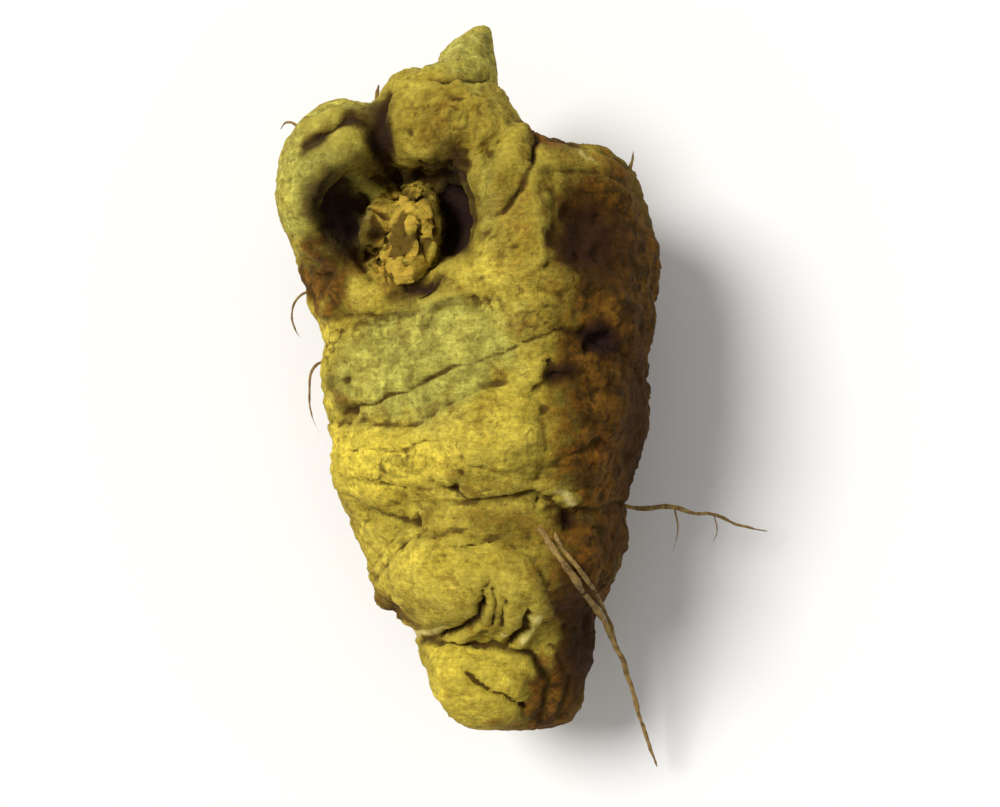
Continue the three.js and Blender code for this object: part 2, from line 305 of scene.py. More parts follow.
ridges = [  # a line seen from above, width, height
    ([(5.0, 14.2), (5.3, 11.4), (5.0, 8.8), (4.4, 6.6)], 0.7, 0.5),
    ([(2.5, 12.4), (3.4, 15.2), (4.1, 17.8)], 0.9, 0.7),
    ([(0.9, -18.9), (0.2, -19.6), (-1.2, -20.5)], 0.3, 0.4),
    ([(5.1, -18.4), (4.7, -19.4), (4.0, -20.6)], 0.28, 0.45),
    ([(3.7, -18.2), (3.4, -19.0), (2.7, -20.0)], 0.24, 0.4),
    ([(-2.6, 22.9), (0.0, 23.4), (1.8, 23.2)], 0.35, 0.25),
    ([(7.0, 14.0), (10.0, 14.2), (12.8, 13.4)], 0.6, 0.2),
    ([(-13.6, 8.8), (-9.6, 6.2), (-5.2, 5.6), (-1.4, 6.8)], 0.7, 0.25),
    ([(-4.4, 15.2), (-4.7, 12.6), (-4.6, 9.4)], 0.4, 0.85),
    ([(-2.7, 13.4), (-2.6, 10.6)], 0.35, 0.55),
    ([(-7.6, 14.6), (-6.4, 13.0), (-7.4, 10.8)], 0.4, 0.7),
    ([(-8.6, 12.6), (-7.4, 11.4), (-6.2, 9.0)], 0.3, 0.5),
    ([(0.6, 13.6), (1.4, 15.8), (0.4, 17.6)], 0.5, 0.3),
]

pits = [  # x, y, radius, depth
    (10.2, 2.3, 0.9, 0.9),
    (8.9, 2.9, 0.5, 0.4),
    (6.8, -0.5, 0.7, 0.6),
    (-8.9, -0.2, 0.5, 0.22),
    (-9.1, -2.6, 0.6, 0.25),
    (-0.8, -8.4, 0.45, 0.4),
    (-0.2, -7.6, 0.3, 0.2),
    (-3.7, -11.2, 0.45, 0.45),
    (7.7, -11.2, 0.7, 0.6),
    (9.8, -5.0, 0.6, 0.4),
    (-10.6, 7.6, 0.45, 0.35),
    (-11.9, 6.7, 0.4, 0.3),
    (-9.3, 8.4, 0.4, 0.3),
    (-12.2, 8.4, 0.35, 0.25),
    (-11.2, 17.5, 0.5, 0.3),
    (-9.0, 18.7, 0.4, 0.25),
    (5.8, -3.2, 0.35, 0.2),
    (8.6, 8.4, 0.6, 0.35),
    (7.4, 11.8, 0.5, 0.35),
    (10.4, 11.4, 0.5, 0.3),
    (-5.4, -17.8, 0.6, 0.3),
]

tubercleRows = [  # a line of small warts seen from above, how many, radius, height
    ([(-8.4, 3.2), (-5.2, 3.5), (-2.2, 4.1)], 8, 0.32, 0.36),
    ([(1.2, 4.6), (3.8, 5.8)], 4, 0.3, 0.33),
    ([(-7.0, -7.6), (-3.2, -5.8)], 6, 0.3, 0.39),
    ([(-6.0, -6.4), (-2.6, -6.9)], 4, 0.26, 0.30),
    ([(4.8, 3.4), (6.8, 1.8)], 3, 0.4, 0.45),
    ([(-1.6, -3.4), (2.8, -4.0)], 4, 0.28, 0.24),
    ([(3.0, -6.6), (6.0, -4.2)], 4, 0.3, 0.27),
    ([(-3.0, 15.8), (1.6, 20.6)], 6, 0.34, 0.30),
    ([(-3.2, 20.2), (1.8, 17.0)], 5, 0.3, 0.30),
    ([(1.6, 8.4), (3.8, 10.2)], 4, 0.3, 0.30),
    ([(-10.0, 3.4), (-11.2, 0.8)], 4, 0.3, 0.30),
    ([(8.0, 6.4), (12.0, 5.2)], 5, 0.35, 0.38),
    ([(9.4, 9.0), (11.6, 12.0)], 4, 0.35, 0.38),
    ([(8.2, -7.6), (11.6, -8.2)], 4, 0.3, 0.38),
]


def pointAlong(line, share):
    lengths = [math.dist(a, b) for a, b in zip(line, line[1:])]
    left = share * sum(lengths)
    for (a, b), length in zip(zip(line, line[1:]), lengths):
        if left <= length:
            return [p + (q - p) * left / length for p, q in zip(a, b)]
        left -= length
    return line[-1]


def carveRings(carving):
    x, y, z = carving.co.T
    middleX = np.interp(y, axis["y"], axis["x"])
    middleZ = np.interp(y, axis["y"], axis["z"])
    row = y - np.interp(y, axis["y"], axis["slope"]) * (x - middleX)
    row += 0.8 * grain(carving.co, 8, 2, 1) + 0.1 * grain(carving.co, 1.6, 2, 2)
    carving.row = row
    side = ramp(np.hypot(x - middleX, z - middleZ), 5, 8)
    crownEnd = 1 - 0.5 * ramp(y, 15, 19)
    fade = 0.55 + 0.75 * grain(carving.co, 6, 2, 3)
    amount = np.zeros(len(row))
    for at, depth, width in sheathRings:
        d = row - at
        amount -= 0.9 * depth * np.exp(-((np.abs(d) / width) ** 1.4))
        amount += 0.45 * depth * np.exp(-np.abs(d) / 1.2) * ramp(d, 0, 1.6 * width)
    # fine lines of the leaf bases between the rings
    lines = np.sin(row * 8.6 + 2.4 * grain(carving.co, 3, 2, 4)) + 0.6 * np.sin(row * 14.5)
    amount += 0.05 * lines * ramp(fade, 0.3, 0.8) * ramp(y, 19, 15)
    # the strokes below draw the rings on the upper side
    front = 1 - 0.65 * carving.upper
    carving.push(amount * side * crownEnd * front * np.clip(fade, 0.2, 1.25))


def carveStrokes(carving):
    fine = np.stack([grain(carving.co, 1.3, 3, 5), grain(carving.co, 1.3, 3, 6)], axis=1)
    broad = np.stack([grain(carving.co, 5, 2, 7), grain(carving.co, 5, 2, 8)], axis=1)
    seen = carving.co[:, :2] + 0.15 * fine + 0.3 * broad
    carving.seen = seen
    # a line is deeper here and fainter there
    press = np.clip(0.95 + 0.6 * grain(carving.co, 3.0, 2, 9), 0.5, 1.3)
    # lines collects painted shade: dark lines along the creases, in the pits and round the foot of each wart
    amount, lines = np.zeros(len(seen)), np.zeros(len(seen))
    for x, y, wide, long, turn, height in swells:
        inside = patch(seen, x, y, wide, long, turn, 0.28)
        amount += height * (0.3 * inside + 0.7 * patch(seen, x, y, wide, long, turn, 0.9))
    for line, width, depth, lip in creases:
        away = lineDistance(seen, line)
        amount -= depth * press * np.exp(-((np.abs(away) / width) ** 1.3))
        amount += lip * np.sign(away) * np.exp(-np.abs(away) / 1.1) * ramp(np.abs(away), 0, 1.5 * width)
        lines = np.maximum(lines, press * min(1, 0.22 + 1.1 * depth) * bell(away, 0.9 * width + 0.08))
    for line, width, height in ridges:
        amount += height * (0.6 + 0.4 * press) * bell(lineDistance(seen, line), width)
    for x, y, radius, depth in pits:
        away = np.hypot(seen[:, 0] - x, seen[:, 1] - y) * (1 + 0.7 * fine[:, 0])
        amount += depth * (0.25 * bell(away - 1.3 * radius, 0.5 * radius) - bell(away, radius))
        lines = np.maximum(lines, min(1, 0.4 + depth) * bell(away, radius))
    for line, count, radius, height in tubercleRows:
        for i in range(count):
            x, y = pointAlong(line, (i + 0.5 * random.random()) / count)
            size = radius * random.uniform(1.0, 1.5)
            away = np.hypot(seen[:, 0] - x, seen[:, 1] - y)
            amount += height * (bell(away, size) - 0.8 * bell(away, 0.4 * size))
            lines = np.maximum(lines, 0.6 * bell(away - 1.1 * size, 0.3 * size) * press)
    carving.push(amount * carving.upper)
    carving.masks["lines"] = lines * carving.upper


hiddenScars = {"count": 34, "radius": (0.3, 0.7), "height": 0.2, "seed": 4}


# root scars and warts on the flanks and the underside
def carveHidden(carving):
    random.seed(hiddenScars["seed"])
    amount = np.zeros(len(carving.co))
    uneven = 1 + 0.8 * grain(carving.co, 0.9, 2, 10)
    for _ in range(hiddenScars["count"]):
        y = random.uniform(-25, 18)
        angle = math.radians(random.uniform(165, 375))
        centreX = np.interp(y, axis["y"], axis["x"])
        centreZ = np.interp(y, axis["y"], axis["z"])
        out = np.array([math.cos(angle), 0, math.sin(angle)])
        near = np.where(np.abs(carving.co[:, 1] - y) < 2)[0]
        local = carving.co[near] - np.array([centreX, y, centreZ])
        along = local @ out
        away = np.linalg.norm(local - along[:, None] * out, axis=1) * uneven[near]
        away[along < 0] = 99
        radius = random.uniform(*hiddenScars["radius"])
        rim = bell(away - radius, 0.45 * radius) - 0.9 * bell(away, 0.6 * radius)
        amount[near] += hiddenScars["height"] * rim
    carving.push(amount)


def carveFibres(carving):
    x, y, z = carving.co.T
    seen = carving.co[:, :2]
    # the folded fibrous core of the shoot's scar
    core = patch(seen, -5.0, 10.8, 2.9, 4.3, -10, 0.25) * carving.upper
    stretched = carving.co * np.array([2.0, 0.5, 1.2])
    carving.co += (carving.softened(carving.co, 40) - carving.co) * 0.9 * core[:, None]
    coreFolds = folds(stretched, 2.1, 11)
    amount = core * (0.85 * coreFolds + 0.3 * folds(stretched, 1.0, 12))
    # painted shade in the gaps between the core's folds
    between = 1.1 * core * (1 - ramp(coreFolds, 0.25, 0.7))
    carving.masks["lines"] = np.maximum(carving.masks["lines"], between)
    # the torn stub, its fibres run lengthwise
    stub = ramp(y, 19.5, 22.5) * ramp(x, -6.5, -5)
    stretched = carving.co * np.array([2.4, 0.4, 2.4])
    amount += stub * 0.16 * folds(stretched, 1.8, 13)
    # the block under it is coarse
    block = patch(seen, -1.2, 18.0, 4.6, 4.4, 0, 0.4) * carving.upper
    amount += block * (0.3 * folds(carving.co, 2.6, 14) + 0.22 * grain(carving.co, 0.9, 2, 15))
    # so is the brown side
    flank = ramp(x, 5.5, 9) * ramp(y, 13.5, 8) * ramp(y, -26, -20)
    amount += flank * (0.1 * folds(carving.co, 1.9, 16) + 0.12 * grain(carving.co, 0.8, 2, 17))
    carving.push(amount)


tipLook = {"from": 24.2, "end": 27.6, "middle": (0.2, 1.5), "narrow": 0.62}


outlineNudges = [  # x, y, radius, how far to the right and up
    (-5.6, 23.0, 1.5, -0.3, 0.6),
    (-2.9, 24.9, 1.0, 0.5, -0.6),
    (-0.8, 26.3, 0.7, -0.2, 0.3),
    (3.0, 23.6, 1.2, -0.4, -0.2),
    (-7.9, 21.6, 1.0, 0.2, -0.4),
]


# the broken tip of the stub comes to a point
def sharpenTip(carving):
    x, y, z = carving.co.T
    share = tipLook["narrow"] * ramp(y, tipLook["from"], tipLook["end"])
    middleX = np.interp(y, [tipLook["from"], tipLook["end"]], tipLook["middle"])
    middleZ = z[y > tipLook["from"]].mean()
    carving.co[:, 0] += (middleX - x) * share
    carving.co[:, 2] += (middleZ - z) * share
    for x, y, radius, right, up in outlineNudges:
        share = bell(np.hypot(carving.co[:, 0] - x, carving.co[:, 1] - y), radius)
        carving.co[:, 0] += right * share
        carving.co[:, 1] += up * share


# the fibrous core sits low in its scar
def settleCore(carving):
    share = patch(carving.co[:, :2], -5.0, 11.8, 3.2, 4.6, -10, 0.45) * carving.upper
    carving.co[:, 1] -= 0.7 * share
    carving.co[:, 2] -= 1.5 * share


def carveGrowth(carving):
    stretched = carving.co * np.array([0.6, 1.5, 0.6])
    smoothPlate = patch(carving.co[:, :2], -3.2, 0.6, 6.6, 4.2, 14, 0.3) * carving.upper
    calm = 1 - 0.65 * smoothPlate
    amount = 0.55 * grain(carving.co, 5.0, 2, 21)
    amount += 0.13 * calm * folds(stretched, 2.8, 22)
    carving.push(amount)


ringTilt = 0.22  # how the wrinkles rise to the right, in radians
turned = np.array([
    [math.cos(ringTilt), -math.sin(ringTilt), 0],
    [math.sin(ringTilt), math.cos(ringTilt), 0],
    [0, 0, 1],
])


def carveSkin(carving):
    stretched = carving.co * np.array([0.7, 1.4, 0.7])
    smoothPlate = patch(carving.co[:, :2], -3.2, 0.6, 6.6, 4.2, 14, 0.3) * carving.upper
    calm = 1 - 0.7 * smoothPlate
    rugged = ramp(grain(carving.co, 4.5, 2, 26), -0.35, 0.35)
    amount = (0.03 + 0.07 * rugged) * calm * folds(stretched, 1.2, 23)
    amount += (0.055 + 0.06 * rugged) * calm * grain(carving.co, 0.75, 3, 24)
    warts = ramp(grain(carving.co, 1.1, 1, 25), 0.3, 0.52)
    amount += 0.1 * calm * rugged * warts
    # fine wrinkles along the rings
    drawn = carving.co @ turned * np.array([0.35, 1.7, 0.5])
    amount += 0.055 * folds(drawn, 1.3, 27)
    carving.push(amount)


# where each colour of the skin lies, seen from above: x, y, half width, half length, turn, strength. The brown on the
# right flank is partly the skin's own brown and partly painted shade of the side away from the light, and the deep
# patches are painted shade

colourPatches = {
    "bright": [
        (-6.6, -6.6, 4.8, 3.2, 8, 0.85),
        (-11.6, 2.0, 1.4, 8.0, 8, 0.7),
        (2.4, -4.0, 4.2, 5.2, 20, 0.4),
        (4.4, -1.0, 2.4, 1.6, 20, 0.6),
        (-2.0, 6.2, 5.0, 1.4, 6, 0.4),
        (4.6, 9.6, 0.9, 4.0, 0, 0.35),
        (-1.0, -14.4, 4.4, 2.6, 0, 0.45),
        (0.9, -23.2, 3.8, 3.2, -15, 0.9),
        (-6.4, -12.4, 2.2, 4.0, 25, 0.45),
        (3.4, 15.6, 1.4, 2.6, 12, 0.45),
        (9.2, 17.6, 3.0, 0.8, -12, 0.25),
        (-9.0, -5.0, 2.4, 1.4, 0, 0.7),
        (-9.6, 20.2, 3.0, 0.8, 24, 0.3),
    ],
    "green": [
        (-3.0, 1.0, 7.4, 4.2, 14, 1.0),
        (-11.4, 15.4, 4.0, 6.6, 14, 0.9),
        (-9.0, 20.0, 4.0, 1.6, 24, 0.7),
        (-0.4, 24.6, 3.2, 3.0, 0, 0.95),
        (1.8, 12.6, 1.6, 4.4, 0, 0.55),
        (-4.4, -11.4, 3.0, 2.2, 0, 0.35),
        (-6.6, -12.6, 1.8, 3.0, 25, 0.3),
        (9.6, 9.0, 2.4, 2.6, 0, 0.35),
    ],
    "brown": [
        (-0.8, -8.2, 1.4, 0.8, 0, 0.55),
        (-3.7, -11.0, 1.2, 0.8, 0, 0.5),
        (5.0, 3.0, 2.2, 1.2, 20, 0.5),
        (3.6, -8.7, 3.2, 0.6, 5, 0.45),
        (-6.8, -10.2, 3.0, 0.7, -20, 0.35),
        (0.2, -3.2, 1.6, 1.0, 0, 0.28),
        (1.6, -19.2, 2.4, 0.9, 0, 0.4),
        (-9.8, -8.8, 0.8, 3.0, 10, 0.3),
        (-7.6, 4.6, 2.6, 0.5, 0, 0.4),
        (8.4, -3.0, 2.2, 5.0, 0, 0.7),
        (12.6, 2.0, 6.2, 17.0, 0, 0.9),
        (11.6, -4.0, 5.2, 13.0, 4, 1.0),
        (10.8, 10.6, 4.6, 5.4, 0, 1.0),
        (9.6, -19.0, 3.4, 9.0, 8, 1.0),
        (4.6, -11.4, 5.6, 1.6, -6, 0.5),
        (-1.2, 18.4, 4.4, 4.2, 0, 0.35),
        (6.4, 18.6, 2.2, 2.6, 40, 0.8),
        (8.8, 15.6, 5.0, 1.9, -8, 0.45),
        (3.6, 10.6, 2.8, 4.8, 10, 0.45),
        (-3.0, 5.6, 5.0, 0.8, 4, 0.3),
        (5.0, 8.0, 1.6, 4.6, 0, 0.35),
        (-11.2, 7.6, 3.0, 2.2, -20, 0.85),
        (-10.0, 18.0, 2.4, 1.1, 24, 0.75),
        (-6.4, -18.6, 2.4, 2.4, 0, 0.8),
        (-9.4, -1.2, 1.0, 2.4, 0, 0.55),
        (-6.0, 7.4, 3.0, 0.9, -20, 0.45),
        (6.8, -25.2, 2.6, 4.2, 0, 0.95),
        (4.2, -26.6, 4.0, 1.2, 0, 0.6),
        (5.8, -15.2, 1.2, 3.2, 0, 0.45),
    ],
    # deep: painted shade in the pits, the scar's moat, the grooves round the crown and on the shaded right flank
    "deep": [
        (-0.9, 12.6, 1.8, 4.4, 4, 1.0),
        (-9.7, 11.8, 2.4, 3.7, 10, 0.95),
        (-3.5, 6.3, 2.1, 1.0, 10, 1.0),
        (-3.8, 15.4, 2.6, 0.7, 0, 0.8),
        (-6.4, 15.6, 3.0, 1.0, 0, 0.6),
        (-6.4, 18.2, 1.3, 3.4, 4, 0.85),
        (10.2, 2.3, 1.7, 1.4, -20, 1.0),
        (7.0, -0.5, 1.4, 0.9, 0, 0.85),
        (7.6, -11.2, 1.3, 0.9, 0, 0.7),
        (8.6, -20.4, 2.2, 5.6, 6, 0.7),
        (9.4, 9.6, 3.2, 3.8, 0, 0.75),
        (13.0, -4.0, 2.0, 9.0, 0, 0.6),
        (11.2, -12.6, 1.8, 3.0, 0, 0.45),
        (12.4, 3.6, 1.2, 2.0, 0, 0.4),
        (10.8, -1.6, 1.2, 0.8, 0, 0.45),
        (-10.9, 17.2, 1.6, 0.9, 24, 0.9),
        (-8.8, 18.4, 1.2, 0.7, 10, 0.8),
        (7.2, 18.0, 1.8, 0.6, -40, 0.5),
    ],
    "rust": [
        (4.6, 12.4, 1.2, 3.4, 0, 0.4),
        (4.6, -11.0, 5.0, 1.4, -6, 0.45),
        (9.8, -5.0, 1.6, 1.0, 0, 0.8),
        (5.8, 17.4, 2.4, 1.6, -20, 0.6),
        (7.2, 0.8, 1.8, 1.2, 0, 0.6),
        (-1.2, 17.6, 3.6, 3.0, 0, 0.45),
        (-11.6, 7.0, 1.8, 1.4, 0, 0.3),
        (5.4, -22.8, 0.9, 1.8, 0, 0.5),
        (11.6, 10.8, 2.0, 2.6, 0, 0.35),
        (8.4, -13.6, 2.0, 2.4, 0, 0.45),
    ],
    "core": [(-5.2, 10.6, 2.5, 3.8, -10, 1.0)],
}

paleLines = [  # torn edges that show the pale flesh: a line, width, strength
    ([(-4.2, -20.2), (-2.8, -19.6), (-1.7, -18.9)], 0.42, 0.8),
    # these two lines on the raised lips of the lower crack are painted highlight
    ([(5.2, -18.0), (4.9, -19.0), (4.2, -20.2)], 0.22, 0.9),
    ([(3.9, -18.0), (3.5, -19.0), (2.8, -19.8)], 0.18, 0.8),
    ([(6.6, -9.1), (7.3, -9.4), (7.8, -10.0)], 0.5, 0.8),
    ([(9.0, 16.4), (10.2, 15.6)], 0.3, 0.6),
    ([(1.8, -0.1), (2.0, -1.0)], 0.28, 0.4),
    ([(-4.6, 23.0), (-2.8, 24.0), (-1.2, 24.6)], 0.35, 0.5),
    ([(-2.0, 23.8), (1.0, 26.2)], 1.5, 0.42),
    ([(0.4, 26.0), (1.2, 26.8)], 0.4, 0.4),
    ([(-7.9, 18.0), (-8.2, 17.2)], 0.3, 0.5),
    ([(-6.3, 14.2), (-7.4, 12.4), (-7.9, 10.8)], 0.25, 0.5),
]


def paintMasks(carving):
    jitter = np.stack([grain(carving.co, 2.0, 4, 31), grain(carving.co, 2.0, 4, 32)], axis=1)
    loose = carving.seen + 1.4 * jitter
    close = carving.seen + 0.5 * jitter
    # the patches fade out slowly down the sides
    top = ramp(carving.normal[:, 2] + 0.5 * grain(carving.co, 5, 3, 35), -0.75, 0.3)
    for name, patches in colourPatches.items():
        mask = np.zeros(len(jitter))
        seen, edge = (close, 0.7) if name in ("deep", "core") else (loose, 0.7)
        for x, y, wide, long, turn, strength in patches:
            mask = np.maximum(mask, strength * patch(seen, x, y, wide, long, turn, edge))
        carving.masks[name] = mask * (carving.upper if name == "core" else top)
    pale = np.zeros(len(jitter))
    for line, width, strength in paleLines:
        pale = np.maximum(pale, strength * bell(lineDistance(close, line), width))
    carving.masks["pale"] = pale * carving.upper
    # the sides and the underside are browner, and lighter where the skin bulges. They are browner still in the broad
    # hollows, which is painted shade, and on the right side, which is partly the skin's own brown and partly painted
    # shade of the side away from the light. Skin that faces down gets painted shade in the darkest tone
    under = 1 - top
    flank = grain(carving.co, 7, 3, 33)
    sunk = carving.hollow(130)
    rightSide = ramp(carving.co[:, 0], 6, 11)
    darker = under * (0.35 + 0.5 * np.maximum(ramp(flank + sunk, -0.5, 0.5), 0.9 * rightSide))
    lighter = under * 0.5 * ramp(-flank - sunk, -0.1, 0.6) * (1 - 0.8 * rightSide)
    rusty = under * 0.45 * ramp(grain(carving.co, 3.0, 3, 34), 0.0, 0.6)
    underShade = under * 0.5 * ramp(-carving.normal[:, 2], 0.3, 0.9)
    for name, mask in (("brown", darker), ("bright", lighter), ("rust", rusty), ("deep", underShade)):
        carving.masks[name] = np.minimum(carving.masks[name] + mask, 1)
    # hollow and sunk measure how far the skin lies under its surroundings; the skin material turns them into painted
    # shade
    carving.masks["hollow"] = carving.hollow(3) * 13 + carving.hollow(20) * 3.4
    carving.masks["sunk"] = sunk
    for name, mask in carving.masks.items():
        attribute = carving.mesh.attributes.new(name, "FLOAT", "POINT")
        passes = 0 if name == "lines" else 1
        attribute.data.foreach_set("value", carving.softened(mask, passes).astype(np.float32))


def pressFlat(carving):
    low = (np.array(cadBox[0]) - np.array(zero)) / mm
    high = (np.array(cadBox[1]) - np.array(zero)) / mm
    carving.co = np.clip(carving.co, low, high)


# materials

def newMaterial(name):
    material = bpy.data.materials.new(name)
    material.use_nodes = True
    tree = material.node_tree
    tree.nodes.clear()
    output = tree.nodes.new("ShaderNodeOutputMaterial")
    shader = tree.nodes.new("ShaderNodeBsdfPrincipled")
    tree.links.new(shader.outputs[0], output.inputs[0])
    return material, tree, shader


def addNode(tree, kind, inputs=(), **settings):
    node = tree.nodes.new(kind)
    for name, value in settings.items():
        setattr(node, name, value)
    for name, value in dict(inputs).items():
        socket = node.inputs[name]
        if isinstance(value, bpy.types.NodeSocket):
            tree.links.new(value, socket)
        else:
            socket.default_value = value
    return node


def noiseNode(tree, vector, scale, detail=4, rough=0.6, distortion=0.0):
    return addNode(
        tree,
        "ShaderNodeTexNoise",
        {"Vector": vector, "Scale": scale, "Detail": detail, "Roughness": rough, "Distortion": distortion},
    ).outputs["Fac"]


def rangeNode(tree, value, low, high, toLow=0.0, toHigh=1.0):
    return addNode(
        tree,
        "ShaderNodeMapRange",
        {"Value": value, "From Min": low, "From Max": high, "To Min": toLow, "To Max": toHigh},
        interpolation_type="SMOOTHSTEP",
    ).outputs["Result"]


def mathNode(tree, operation, a, b=0.0):
    node = tree.nodes.new("ShaderNodeMath")
    node.operation = operation
    for i, value in enumerate((a, b)):
        if isinstance(value, bpy.types.NodeSocket):
            tree.links.new(value, node.inputs[i])
        else:
            node.inputs[i].default_value = value
    return node.outputs[0]


def mixColour(tree, factor, a, b, blend="MIX"):
    node = tree.nodes.new("ShaderNodeMix")
    node.data_type = "RGBA"
    node.blend_type = blend
    node.clamp_factor = True
    for i, value in ((0, factor), (6, a), (7, b)):
        if isinstance(value, bpy.types.NodeSocket):
            tree.links.new(value, node.inputs[i])
        elif i == 0:
            node.inputs[i].default_value = value
        else:
            node.inputs[i].default_value = (*value, 1)
    return node.outputs[2]


# mottling and fine grain of a dried surface, for the skin and the roots
def makeDryGrain():
    group = bpy.data.node_groups.new("dry_grain", "ShaderNodeTree")
    group.interface.new_socket(name="Vector", in_out="INPUT", socket_type="NodeSocketVector")
    for name, value in (("Mottle Scale", 900), ("Grain Scale", 2600), ("Distortion", 0.4)):
        socket = group.interface.new_socket(name=name, in_out="INPUT", socket_type="NodeSocketFloat")
        socket.default_value = value
    for name in ("Mottle", "Grain", "Height"):
        group.interface.new_socket(name=name, in_out="OUTPUT", socket_type="NodeSocketFloat")
    given = group.nodes.new("NodeGroupInput").outputs
    result = group.nodes.new("NodeGroupOutput").inputs
    mottle = noiseNode(group, given["Vector"], given["Mottle Scale"], 5, 0.65, given["Distortion"])
    fine = noiseNode(group, given["Vector"], given["Grain Scale"], 4, 0.68)
    height = mathNode(group, "ADD", fine, mathNode(group, "MULTIPLY", mottle, 1.6))
    for name, value in (("Mottle", mottle), ("Grain", fine), ("Height", height)):
        group.links.new(value, result[name])
    return group


# brown and brownDark are also painted shade on the right flank and in the hollows; crease is painted shade in the
# creases and hollows and also flecks at random; deep is painted shade in the pits and recesses
skinColours = {
    "olive": (0.37, 0.275, 0.03),
    "straw": (0.5, 0.39, 0.052),
    "bright": (0.66, 0.515, 0.056),
    "green": (0.45, 0.42, 0.082),
    "greenDark": (0.34, 0.305, 0.056),
    "brown": (0.165, 0.068, 0.007),
    "brownDark": (0.04, 0.015, 0.0025),
    "rust": (0.24, 0.085, 0.01),
    "deep": (0.02, 0.009, 0.008),
    "core": (0.62, 0.38, 0.046),
    "pale": (0.72, 0.61, 0.21),
    "crease": (0.066, 0.036, 0.006),
}


def skinMaterial():
    material, tree, shader = newMaterial("dried_skin")
    where = addNode(tree, "ShaderNodeTexCoord").outputs["Object"]
    c = skinColours
    grainy = addNode(
        tree, "ShaderNodeGroup", {"Vector": where, "Mottle Scale": 850, "Grain Scale": 2600}, node_tree=dryGrain
    )
    mottle, fine, height = (grainy.outputs[name] for name in ("Mottle", "Grain", "Height"))
    blotch = noiseNode(tree, where, 260, 5, 0.62)
    patchy = noiseNode(tree, where, 480, 6, 0.7, 0.8)
    dust = noiseNode(tree, where, 1500, 5, 0.75)
    broad = noiseNode(tree, where, 130, 3, 0.5)
    drawn = addNode(
        tree,
        "ShaderNodeMapping",
        {"Vector": where, "Rotation": (0, 0, -ringTilt), "Scale": (0.3, 1.6, 0.5)},
    ).outputs["Vector"]
    wrinkle = noiseNode(tree, drawn, 1900, 5, 0.7, 0.3)

    def mask(name):
        return addNode(tree, "ShaderNodeAttribute", attribute_name=name).outputs["Fac"]

    # a mask whose edge is broken up by the mottling
    def ragged(name, low, high, much=0.55):
        loose = mathNode(tree, "MULTIPLY_ADD", mottle, much)
        loose.node.inputs[2].default_value = -much / 2
        return rangeNode(tree, mathNode(tree, "ADD", mask(name), loose), low, high)

    def over(colour, factor, strength, top):
        return mixColour(tree, mathNode(tree, "MULTIPLY", factor, strength), colour, top)

    colour = mixColour(tree, rangeNode(tree, blotch, 0.38, 0.62), c["olive"], c["straw"])
    colour = over(colour, ragged("bright", 0.15, 0.9), 0.9, c["bright"])
    green = mixColour(tree, rangeNode(tree, mottle, 0.36, 0.66), c["greenDark"], c["green"])
    colour = over(colour, ragged("green", 0.15, 0.85), 0.88, green)
    # olive powder caught on the high grain
    colour = over(colour, rangeNode(tree, dust, 0.55, 0.75), 0.2, c["straw"])
    # brown skin; on the right flank it is partly painted shade
    brown = mixColour(tree, rangeNode(tree, mottle, 0.36, 0.64), c["brownDark"], c["brown"])
    brownness = ragged("brown", 0.1, 0.85, 0.7)
    colour = over(colour, brownness, 0.96, brown)
    colour = over(colour, ragged("rust", 0.2, 1.0, 0.7), 0.65, c["rust"])
    colour = over(colour, ragged("core", 0.25, 0.75), 1.0, c["core"])
    # brown where the powder is thin
    colour = over(colour, rangeNode(tree, patchy, 0.48, 0.72), 0.62, c["brown"])
    # light and dark, from broad patches to fine grain and wrinkles along the rings
    tone = rangeNode(tree, broad, 0.35, 0.65, 0.88, 1.14)
    for value, low, high in ((mottle, 0.82, 1.16), (fine, 0.78, 1.18), (wrinkle, 0.84, 1.12)):
        tone = mathNode(tree, "MULTIPLY", tone, rangeNode(tree, value, 0.34, 0.66, low, high))
    colour = mixColour(tree, 1.0, colour, tone, "MULTIPLY")
    colour = over(colour, rangeNode(tree, dust, 0.44, 0.3), 0.65, c["crease"])
    # painted shade darkens the hollows, and the high spots are paler
    hollow = mask("hollow")
    colour = over(colour, rangeNode(tree, hollow, 0.08, 1.2), 0.85, c["crease"])
    highSpots = mathNode(tree, "SUBTRACT", rangeNode(tree, hollow, -0.35, -1.3), brownness)
    colour = over(colour, mathNode(tree, "MAXIMUM", highSpots, 0.0), 0.4, c["straw"])
    # painted shade along the creases, in the pits, round the warts and between the core's folds
    colour = over(colour, ragged("lines", 0.2, 0.8, 0.2), 0.85, c["crease"])
    # painted shade in the broad hollows
    colour = over(colour, rangeNode(tree, mask("sunk"), 0.25, 0.9), 0.75, c["brownDark"])
    # painted shade in the pits, the scar's moat, the grooves, on the right flank and under skin that faces down
    colour = over(colour, ragged("deep", 0.1, 0.75, 0.5), 0.8, c["brownDark"])
    colour = over(colour, ragged("deep", 0.45, 1.05, 0.5), 0.95, c["deep"])
    # pale flesh on the torn edges, and painted highlight on the lips of the lower crack
    colour = over(colour, ragged("pale", 0.3, 0.8, 0.6), 0.85, c["pale"])
    tree.links.new(colour, shader.inputs["Base Color"])

    tree.links.new(rangeNode(tree, dust, 0.3, 0.7, 0.75, 0.97), shader.inputs["Roughness"])
    shader.inputs["Specular IOR Level"].default_value = 0.1
    height = mathNode(tree, "ADD", height, wrinkle)
    bump = addNode(tree, "ShaderNodeBump", {"Strength": 0.6, "Distance": 0.0003, "Height": height})
    tree.links.new(bump.outputs[0], shader.inputs["Normal"])
    return material


rootColours = {"dark": (0.14, 0.08, 0.024), "bark": (0.34, 0.22, 0.064), "dust": (0.46, 0.34, 0.13)}


